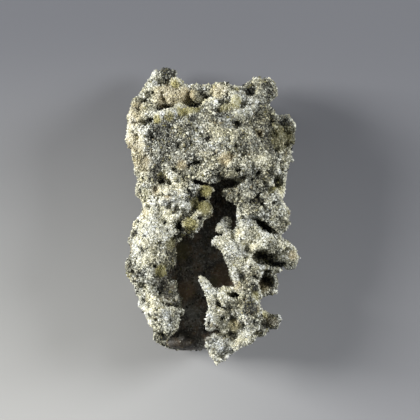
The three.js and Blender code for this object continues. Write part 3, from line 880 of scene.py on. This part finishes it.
OLIVE_PATCHES = [
    (6.2, 3.0, 0.5, 0.5), (2.3, -11.4, 0.7, 0.5), (-4.6, -2.6, 0.9, 0.3), (-5.3, -5.9, 0.8, 0.6),
    (-0.7, 2.9, 0.8, 1.3), (-0.9, 1.1, 0.9, 0.9), (-2.25, -0.75, 0.8, 1.3), (-5.4, -5.6, 0.8, 0.8),
    (-1.9, 1.6, 0.8, 0.5), (-5.8, 10.4, 0.6, 0.8), (-4.5, 10.7, 0.6, 0.8), (-3.2, 11.2, 0.7, 0.9),
    (2.4, 12.2, 0.9, 0.6), (1.4, 11.8, 0.8, 0.5), (7.0, 3.0, 0.8, 0.4), (-7.0, 2.6, 0.7, 0.4),
    (7.6, 8.4, 1.8, 0.25), (-4.0, 14.3, 0.6, 0.9), (2.6, 13.5, 0.5, 0.8), (-2.6, 11.4, 0.9, 0.7),
    (-1.9, 11.4, 0.7, 0.8), (4.6, -8.4, 0.7, 0.5), (5.4, -10.4, 0.5, 0.6), (-3.5, -3.6, 1.3, 0.9),
    (0.2, -6.9, 0.7, 0.9),
]
COOL_PATCHES = [
    (-4.8, 15.5, 0.9, 0.7), (1.8, 10.0, 0.9, 0.5), (0.8, 10.6, 0.8, 0.5), (-5.6, 8.9, 2.2, 0.6),
    (-5.6, -7.6, 0.8, 0.5), (4.0, -9.5, 0.6, 0.4), (-5.8, 11.5, 0.6, 0.5), (5.2, -5.2, 0.6, 0.6),
    (6.3, -11.2, 0.9, 0.5), (4.8, -12.8, 0.8, 0.6),
]


def patches(spots, places):
    """The strongest of the soft spots at each place. The spots sit on the upper surface."""
    strength = np.zeros(len(places))
    for x, y, radius, amount in spots:
        aside = np.hypot(places[:, 0] - x, places[:, 1] - y)
        below = 0.6 * (places[:, 2] - surface_height(x, y))
        gap = np.hypot(aside, below) / radius
        strength = np.maximum(strength, amount * (1 - rise(gap, 0.5, 1.2)))
    return strength


# Painted shade over each listed pit, a little wider than the pit.
PAINTED_PIT_SHADE = [(x, y, 1.2 * max(half_x, half_y), 0.6) for x, y, half_x, half_y, *_ in PITS]
MOUTH = (11.0, 12.6)  # in y, where the bore's glass gives way to sand
PATCH_WANDER = 0.45
WARM_WANDER = 0.45
PALE_WEIGHT = 1.2
BARE_LEVEL = 0.55
BARE_WANDER = 0.10
BARE_FADE = 0.4
HOLLOW_SHADE_SCALE = 1.9
DARK_LEVEL = 0.42
DARK_SCALE = 0.5
TAN_STAIN = 0.5
TAN_RANGE = (0.75, 1.3)
OLIVE_STAIN = 0.35
OLIVE_RANGE = (0.8, 1.3)


def makeup(places):
    """The six numbers at each place, as a dictionary of arrays."""
    mouth = rise(places[:, 1], *MOUTH)
    wander = at_points(patch_noise, places)
    stain = at_points(stain_noise, places)
    dark = patches(DARK_PATCHES, places) - patches(PALE_PATCHES, places) + PATCH_WANDER * wander
    dark = dark - PALE_WEIGHT * at_points(paler, places)
    warm = 0.5 + WARM_WANDER * at_points(warm_noise, places) - patches(COOL_PATCHES, places)
    bare = rise(BARE_LEVEL + BARE_WANDER * wander - at_points(crust, places), 0, BARE_FADE)
    # Painted shade: darker at the bottom of hollows and in the listed pits, also standing for dark glass
    # between grains.
    hollow_shade = 0.5 - HOLLOW_SHADE_SCALE * at_points(hollow_shade_field, places) + patches(PAINTED_PIT_SHADE, places)
    return {
        "glass": np.maximum(bare * (1 - mouth), 0.5 * at_points(sheet, places)),
        "hollow_shade": np.clip(hollow_shade, 0, 1.4),
        "dark": np.clip(DARK_LEVEL + DARK_SCALE * dark, 0, 1),
        "tan": np.clip(patches(TAN_PATCHES, places) + TAN_STAIN * rise(stain, *TAN_RANGE), 0, 1),
        "olive": np.clip(patches(OLIVE_PATCHES, places) + OLIVE_STAIN * rise(-stain, *OLIVE_RANGE), 0, 1),
        "warm": np.clip(warm, 0, 1),
    }


rock_makeup = makeup(rock_points)
for name, values in rock_makeup.items():
    print(f"{name}: mean {values.mean():.2f}")

# %% [markdown]
# ## Shared shader groups
#
# The crust and the grains are the same stuff, so they share their colour. *sand_tone* picks a
# sand colour from a number, darker in dark patches (partly painted shade) and, as painted shade, in
# hollows, and stains it. It is a node group with named inputs and outputs: built once, and used by
# each material with its own values.

# %% A group that picks the colour of sand
# The dark end of the ramp leans olive-brown; it also colours the painted shade in hollows.
GRAIN_TONES = [  # where on the ramp, and the colour
    (0.00, (0.018, 0.018, 0.013)), (0.16, (0.058, 0.057, 0.041)), (0.30, (0.135, 0.133, 0.100)),
    (0.44, (0.265, 0.263, 0.206)), (0.58, (0.430, 0.428, 0.340)), (0.74, (0.620, 0.620, 0.525)),
    (0.90, (0.745, 0.747, 0.675)),
]
TAN = (0.46, 0.37, 0.20, 1)
OLIVE = (0.36, 0.325, 0.115, 1)
COOL_CAST = (0.95, 0.98, 1.10, 1)
WARM_CAST = (1.04, 1.00, 0.87, 1)
PICK_WEIGHT = 0.62
DARK_WEIGHT = 0.64
# How much the painted shade in hollows darkens the sand.
HOLLOW_SHADE_WEIGHT = 0.30
MIDDLE_TONE = 0.668
TAN_WEIGHT = 0.62
OLIVE_WEIGHT = 0.78


def new_group(name, inputs, outputs):
    """An empty node group with float inputs and the named outputs."""
    group = bpy.data.node_groups.new(name, "ShaderNodeTree")
    for socket in inputs:
        group.interface.new_socket(socket, in_out="INPUT", socket_type="NodeSocketFloat")
    for socket, kind in outputs.items():
        group.interface.new_socket(socket, in_out="OUTPUT", socket_type=kind)
    return group, group.nodes.new("NodeGroupInput"), group.nodes.new("NodeGroupOutput")


def calculate(tree, operation, first, second, clamp=False):
    """A Math node. Each operand is a socket or a number."""
    node = tree.nodes.new("ShaderNodeMath")
    node.operation = operation
    node.use_clamp = clamp
    for socket, value in zip(node.inputs, (first, second), strict=False):
        feed(tree, socket, value)
    return node.outputs[0]


def sand_tone_group():
    group, given, result = new_group(
        "sand_tone",
        ["Pick", "Dark", "Hollow_Shade", "Tan", "Olive", "Warm"],
        {"Color": "NodeSocketColor"},
    )
    mixed = calculate(group, "MULTIPLY", given.outputs["Pick"], PICK_WEIGHT)
    darker = calculate(group, "MULTIPLY", given.outputs["Dark"], DARK_WEIGHT)
    painted_shade = calculate(group, "MULTIPLY", given.outputs["Hollow_Shade"], HOLLOW_SHADE_WEIGHT)
    tone = calculate(group, "SUBTRACT", mixed, darker)
    tone = calculate(group, "SUBTRACT", tone, painted_shade)
    tone = calculate(group, "ADD", tone, MIDDLE_TONE, clamp=True)
    ramp = group.nodes.new("ShaderNodeValToRGB")
    ramp.color_ramp.interpolation = "LINEAR"
    elements = ramp.color_ramp.elements
    while len(elements) < len(GRAIN_TONES):
        elements.new(0.5)
    for element, (place, colour) in zip(elements, GRAIN_TONES, strict=True):
        element.position = place
        element.color = (*colour, 1)
    group.links.new(tone, ramp.inputs["Fac"])
    tan_share = calculate(group, "MULTIPLY", given.outputs["Tan"], TAN_WEIGHT)
    olive_share = calculate(group, "MULTIPLY", given.outputs["Olive"], OLIVE_WEIGHT)
    cast = blend(group, given.outputs["Warm"], COOL_CAST, WARM_CAST)
    stained = blend(group, 1.0, ramp.outputs["Color"], cast, "MULTIPLY")
    stained = blend(group, tan_share, stained, TAN)
    stained = blend(group, olive_share, stained, OLIVE)
    group.links.new(stained, result.inputs["Color"])
    return group


sand_tone = sand_tone_group()
print("group:", sand_tone.name)

# %% A group of fine speckles


def speckle_group():
    """Sand-sized specks on a smooth surface: a number for the colour and a height for the bump."""
    group, given, result = new_group(
        "sand_speckle", ["Size"], {"Pick": "NodeSocketFloat", "Height": "NodeSocketFloat"}
    )
    place = group.nodes.new("ShaderNodeTexCoord").outputs["Object"]
    scale = calculate(group, "DIVIDE", 1.0, given.outputs["Size"])
    cells = group.nodes.new("ShaderNodeTexVoronoi")
    group.links.new(place, cells.inputs["Vector"])
    group.links.new(scale, cells.inputs["Scale"])
    split = group.nodes.new("ShaderNodeSeparateColor")
    group.links.new(cells.outputs["Color"], split.inputs[0])
    height = calculate(group, "SUBTRACT", 1.0, cells.outputs["Distance"])
    group.links.new(split.outputs[0], result.inputs["Pick"])
    group.links.new(height, result.inputs["Height"])
    return group


sand_speckle = speckle_group()
print("group:", sand_speckle.name)

# %% [markdown]
# ## The wall's material
#
# One material covers the wall inside and out, because the glass runs into the crust without an
# edge. In the bore it is dark glass with brown, olive and grey smears and some sand stuck to it.
# On the crust it is what shows between the grains: darker, with specks too fine to be a mesh.

# %% Wall material
GRAIN_SIZE = 0.215  # mm
SPECK_SIZE = GRAIN_SIZE * 0.7
BUMP_HEIGHT = 0.06  # mm
CRUST_ROUGHNESS = 0.72
GLASS_POLISH = 0.20


def use(tree, group, **values):
    """Places a node group in a material, and feeds its inputs from sockets or numbers."""
    node = tree.nodes.new("ShaderNodeGroup")
    node.node_tree = group
    for name, value in values.items():
        feed(tree, node.inputs[name], value)
    return node


def attribute(tree, name):
    node = tree.nodes.new("ShaderNodeAttribute")
    node.attribute_name = name
    return node.outputs["Fac"]


def noise(tree, period, detail, distortion=0.0):
    """Smooth noise that varies over period millimetres."""
    node = tree.nodes.new("ShaderNodeTexNoise")
    node.inputs["Scale"].default_value = 1 / (period * MM)
    node.inputs["Detail"].default_value = detail
    node.inputs["Distortion"].default_value = distortion
    place = tree.nodes.new("ShaderNodeTexCoord").outputs["Object"]
    tree.links.new(place, node.inputs["Vector"])
    return node.outputs["Fac"]


SAND_TRAITS = ("dark", "hollow_shade", "tan", "olive", "warm")


def sand_colour(tree, pick):
    """The shared sand tone, fed with a pick and with the numbers kept on the mesh."""
    traits = {name.title(): attribute(tree, name) for name in SAND_TRAITS}
    return use(tree, sand_tone, Pick=pick, **traits).outputs["Color"]


GLASS_DARK = (0.065, 0.060, 0.050, 1)
GLASS_BROWN = (0.190, 0.132, 0.080, 1)
GLASS_OLIVE = (0.150, 0.135, 0.055, 1)
GLASS_GREY = (0.400, 0.394, 0.345, 1)
# The colour of painted shade on the glass.
GLASS_SHADE = (0.030, 0.027, 0.022, 1)
RUST = (0.30, 0.19, 0.10, 1)
SPECK_CONTRAST = 0.80
SPECK_DROP = 0.20
CLOUD_SIZE = 1.1  # mm, as are the other two sizes of noise below
CLOUD_RANGE = (0.42, 0.66)
SMEAR_SIZE = 0.55
SMEAR_RANGE = (0.56, 0.74)
RIPPLE_SIZE = 0.35
RIPPLE_WEIGHT = 1.4
DUST_BELOW = 0.42  # glass in paler patches than this has dust on it
GRIT_RANGE = (0.70, 0.95)
GRIT_WEIGHT = 0.70
GLASS_SHADE_ABOVE = 0.45  # glass in darker patches than this gets painted shade
GLASS_SHADE_WEIGHT = 1.6
RUST_WEIGHT = 0.5
MOSS_WEIGHT = 0.7
BUMP_STRENGTH = 0.8


def wall_material():
    material, tree, shader = new_material("fused_wall")
    speck = use(tree, sand_speckle, Size=SPECK_SIZE * MM)
    pick = calculate(tree, "MULTIPLY", speck.outputs["Pick"], SPECK_CONTRAST)
    pick = calculate(tree, "SUBTRACT", pick, SPECK_DROP)
    clouds = ramp_between(tree, noise(tree, CLOUD_SIZE, 3.0), *CLOUD_RANGE)
    glass = blend(tree, clouds, GLASS_DARK, GLASS_BROWN)
    smears = ramp_between(tree, noise(tree, SMEAR_SIZE, 4.0, 0.8), *SMEAR_RANGE)
    glass = blend(tree, smears, glass, GLASS_GREY)
    dust = calculate(tree, "SUBTRACT", DUST_BELOW, attribute(tree, "dark"), clamp=True)
    glass = blend(tree, dust, glass, GLASS_GREY)
    grit = ramp_between(tree, speck.outputs["Pick"], *GRIT_RANGE)
    glass = blend(tree, calculate(tree, "MULTIPLY", grit, GRIT_WEIGHT), glass, GLASS_GREY)
    # Painted shade on the glass in its darkest patches, as round the foot and on the bore's shaded wall.
    glass_shade = calculate(tree, "SUBTRACT", attribute(tree, "dark"), GLASS_SHADE_ABOVE, clamp=True)
    glass_shade = calculate(tree, "MULTIPLY", glass_shade, GLASS_SHADE_WEIGHT, clamp=True)
    glass = blend(tree, glass_shade, glass, GLASS_SHADE)
    rust = calculate(tree, "MULTIPLY", attribute(tree, "tan"), RUST_WEIGHT)
    glass = blend(tree, rust, glass, RUST)
    moss = calculate(tree, "MULTIPLY", attribute(tree, "olive"), MOSS_WEIGHT)
    glass = blend(tree, moss, glass, GLASS_OLIVE)
    in_bore = attribute(tree, "glass")
    colour = blend(tree, in_bore, sand_colour(tree, pick), glass)
    tree.links.new(colour, shader.inputs["Base Color"])
    smoother = calculate(tree, "MULTIPLY", in_bore, -GLASS_POLISH)
    tree.links.new(calculate(tree, "ADD", smoother, CRUST_ROUGHNESS), shader.inputs["Roughness"])
    ripple = calculate(tree, "MULTIPLY", noise(tree, RIPPLE_SIZE, 4.0), RIPPLE_WEIGHT)
    height = calculate(tree, "ADD", speck.outputs["Height"], ripple)
    bump = tree.nodes.new("ShaderNodeBump")
    bump.inputs["Strength"].default_value = BUMP_STRENGTH
    bump.inputs["Distance"].default_value = BUMP_HEIGHT * MM
    tree.links.new(height, bump.inputs["Height"])
    tree.links.new(bump.outputs["Normal"], shader.inputs["Normal"])
    return material


def store(piece, name, values):
    """Keeps one number per vertex on the mesh, where a material can read it."""
    layer = piece.data.attributes.new(name, "FLOAT", "POINT")
    layer.data.foreach_set("value", np.asarray(values, np.float32))


fused_wall = mesh_object("fused_wall", rock_points, rock_quads, wall_material())
for name, values in rock_makeup.items():
    store(fused_wall, name, values)
fused_wall.data.polygons.foreach_set("use_smooth", np.ones(len(rock_quads), bool))
print("wall:", len(fused_wall.data.polygons), "faces")

# %% [markdown]
# ## Sand grains
#
# The crust's sparkle comes from single grains, a fifth of a millimetre across, each with its own
# tone and its own facets that catch the light. They are real meshes here, not instances: one
# small crystal of six facets, copied by NumPy onto the crust, with its corners moved a little,
# turned at random and joined into a few large meshes: three grains for every two faces.

# %% Places for the grains
GRAINS_PER_MESH = 32000
GRAIN_MESHES = 4
SPARSE_ON_GLASS = 0.93
SPARSE_ON_SHEET = 0.5
SIZE_SPREAD = 0.30
quad_corners = rock_points[rock_quads]
quad_centres = quad_corners.mean(1)
diagonal_a = quad_corners[:, 2] - quad_corners[:, 0]
diagonal_b = quad_corners[:, 3] - quad_corners[:, 1]
quad_normals = np.cross(diagonal_a, diagonal_b)
quad_areas = np.linalg.norm(quad_normals, axis=1, keepdims=True)
quad_normals /= quad_areas + 1e-9

rng = np.random.default_rng(77)
quad_makeup = makeup(quad_centres)
chance = quad_areas[:, 0] / quad_areas.mean()
chance *= 1 - SPARSE_ON_GLASS * quad_makeup["glass"]
chance *= 1 - SPARSE_ON_SHEET * at_points(sheet, quad_centres)
chance *= rise(quad_centres[:, 2], 0.15, 0.35)
chance *= 0.55 + 0.45 * rise(quad_centres[:, 2], 1.0, 4.0)
grain_count = GRAINS_PER_MESH * GRAIN_MESHES
chosen = rng.choice(len(chance), grain_count, p=chance / chance.sum())
share = rng.uniform(0.1, 0.9, (grain_count, 2, 1))
chosen_corners = quad_corners[chosen]
near_edge = chosen_corners[:, 0] * (1 - share[:, 0]) + chosen_corners[:, 1] * share[:, 0]
far_edge = chosen_corners[:, 3] * (1 - share[:, 0]) + chosen_corners[:, 2] * share[:, 0]
grain_places = near_edge * (1 - share[:, 1]) + far_edge * share[:, 1]
grain_sizes = GRAIN_SIZE * rng.lognormal(0, SIZE_SPREAD, grain_count).clip(0.55, 2.0)
grain_places += quad_normals[chosen] * (grain_sizes * rng.uniform(-0.15, 0.4, grain_count))[:, None]
print("grains:", grain_count, "on", len(chance), "faces")

# %% One crystal, turned and copied
CRYSTAL_SCALE = 1.15
CORNERS = np.array([(1, 0, 0), (-0.5, 0.87, 0), (-0.5, -0.87, 0), (0, 0, 1), (0, 0, -1)])
FACES = np.array([(0, 1, 3), (1, 2, 3), (2, 0, 3), (1, 0, 4), (2, 1, 4), (0, 2, 4)])


def random_turns(count, rng):
    """Rotation matrices spread evenly over all directions."""
    q = rng.normal(size=(count, 4))
    w, x, y, z = (q / np.linalg.norm(q, axis=1, keepdims=True)).T
    rows = [
        [1 - 2 * (y * y + z * z), 2 * (x * y - z * w), 2 * (x * z + y * w)],
        [2 * (x * y + z * w), 1 - 2 * (x * x + z * z), 2 * (y * z - x * w)],
        [2 * (x * z - y * w), 2 * (y * z + x * w), 1 - 2 * (x * x + y * y)],
    ]
    return np.array(rows).transpose(2, 0, 1)


jitter = rng.uniform(0.7, 1.3, (grain_count, len(CORNERS), 1))
jitter = jitter * rng.uniform(0.75, 1.25, (grain_count, 1, 3))
bent = CORNERS[None] * jitter + rng.uniform(-0.3, 0.3, (grain_count, len(CORNERS), 3))
crystals = np.einsum("nij,nkj->nki", random_turns(grain_count, rng), bent)
crystals = crystals * (grain_sizes / 2)[:, None, None] * CRYSTAL_SCALE + grain_places[:, None, :]
crystals[..., 2] = np.maximum(crystals[..., 2], 0.0)
print("corners:", crystals.shape)

# %% [markdown]
# A grain's material reads the same numbers as the wall under it, plus one random number that is
# the same all over the grain. One grain in eight is of black sand. The facets stay flat and a
# little glossy, without bump: a thing a few pixels wide gets its detail from its shape.

# %% Grain material and meshes


def grain_material():
    material, tree, shader = new_material("sand_grain")
    tree.links.new(sand_colour(tree, attribute(tree, "pick")), shader.inputs["Base Color"])
    gloss = calculate(tree, "MULTIPLY", attribute(tree, "pick"), 0.30, clamp=True)
    tree.links.new(calculate(tree, "SUBTRACT", 0.80, gloss), shader.inputs["Roughness"])
    shader.inputs["Specular IOR Level"].default_value = 0.35
    return material


def grain_map(piece, count):
    """Gives each grain its own small square of the texture, for programs that bake the colours."""
    side = math.ceil(math.sqrt(count))
    column, row = np.divmod(np.arange(count), side)
    corner = np.array([(0.1, 0.1), (0.9, 0.1), (0.9, 0.9), (0.1, 0.1), (0.9, 0.9), (0.1, 0.9)])
    square = np.tile(corner, (len(FACES) // 2, 1))
    places = (np.stack([column, row], 1)[:, None, :] + square[None]) / side
    layer = piece.data.uv_layers.new(name="OFBake")
    layer.data.foreach_set("uv", places.astype(np.float32).ravel())


DARK_SHARE = 0.13  # grains of black sand among the quartz
BLACK_DROP = 0.6
DUST_MUTES = 0.6  # dusty ground hides the contrast between grains
DUSTY_PICK = 0.45
GLASS_DARKENS = 0.9
WARM_SPREAD = 0.3
STAINED_GRAIN = 0.4
pieces = [fused_wall]
material = grain_material()
grain_makeup = makeup(grain_places)
grain_makeup["dark"] = np.maximum(grain_makeup["dark"], GLASS_DARKENS * grain_makeup["glass"])
warm_change = rng.uniform(-WARM_SPREAD, WARM_SPREAD, grain_count)
grain_makeup["warm"] = (grain_makeup["warm"] + warm_change).clip(0, 1)
for name, share_of_grains in (("tan", 0.06), ("olive", 0.08)):
    stained_grains = rng.uniform(0, 1, grain_count) < share_of_grains
    grain_makeup[name] = np.maximum(grain_makeup[name], STAINED_GRAIN * stained_grains)
for number in range(GRAIN_MESHES):
    part = slice(number * GRAINS_PER_MESH, (number + 1) * GRAINS_PER_MESH)
    offsets = len(CORNERS) * np.arange(GRAINS_PER_MESH)[:, None, None]
    faces = (FACES[None] + offsets).reshape(-1, 3)
    grains = mesh_object(f"sand_grains_{number + 1}", crystals[part].reshape(-1, 3), faces, material)
    pick = rng.uniform(0, 1, GRAINS_PER_MESH)
    pick -= BLACK_DROP * (rng.uniform(0, 1, GRAINS_PER_MESH) < DARK_SHARE)
    pick += DUST_MUTES * grain_makeup["tan"][part] * (DUSTY_PICK - pick)
    store(grains, "pick", np.repeat(pick, len(CORNERS)))
    for name in SAND_TRAITS:
        store(grains, name, np.repeat(grain_makeup[name][part], len(CORNERS)))
    grain_map(grains, GRAINS_PER_MESH)
    pieces.append(grains)
    print(grains.name, len(grains.data.polygons), "triangles")

# %% [markdown]
# ## Putting the pieces on the body
#
# The sculpted wall and its grains stand for the solid, which is hidden, and ride on its body.

# %% Hide the solid and attach the pieces to its body
for piece in pieces:
    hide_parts(NODE)
    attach(piece, "root")
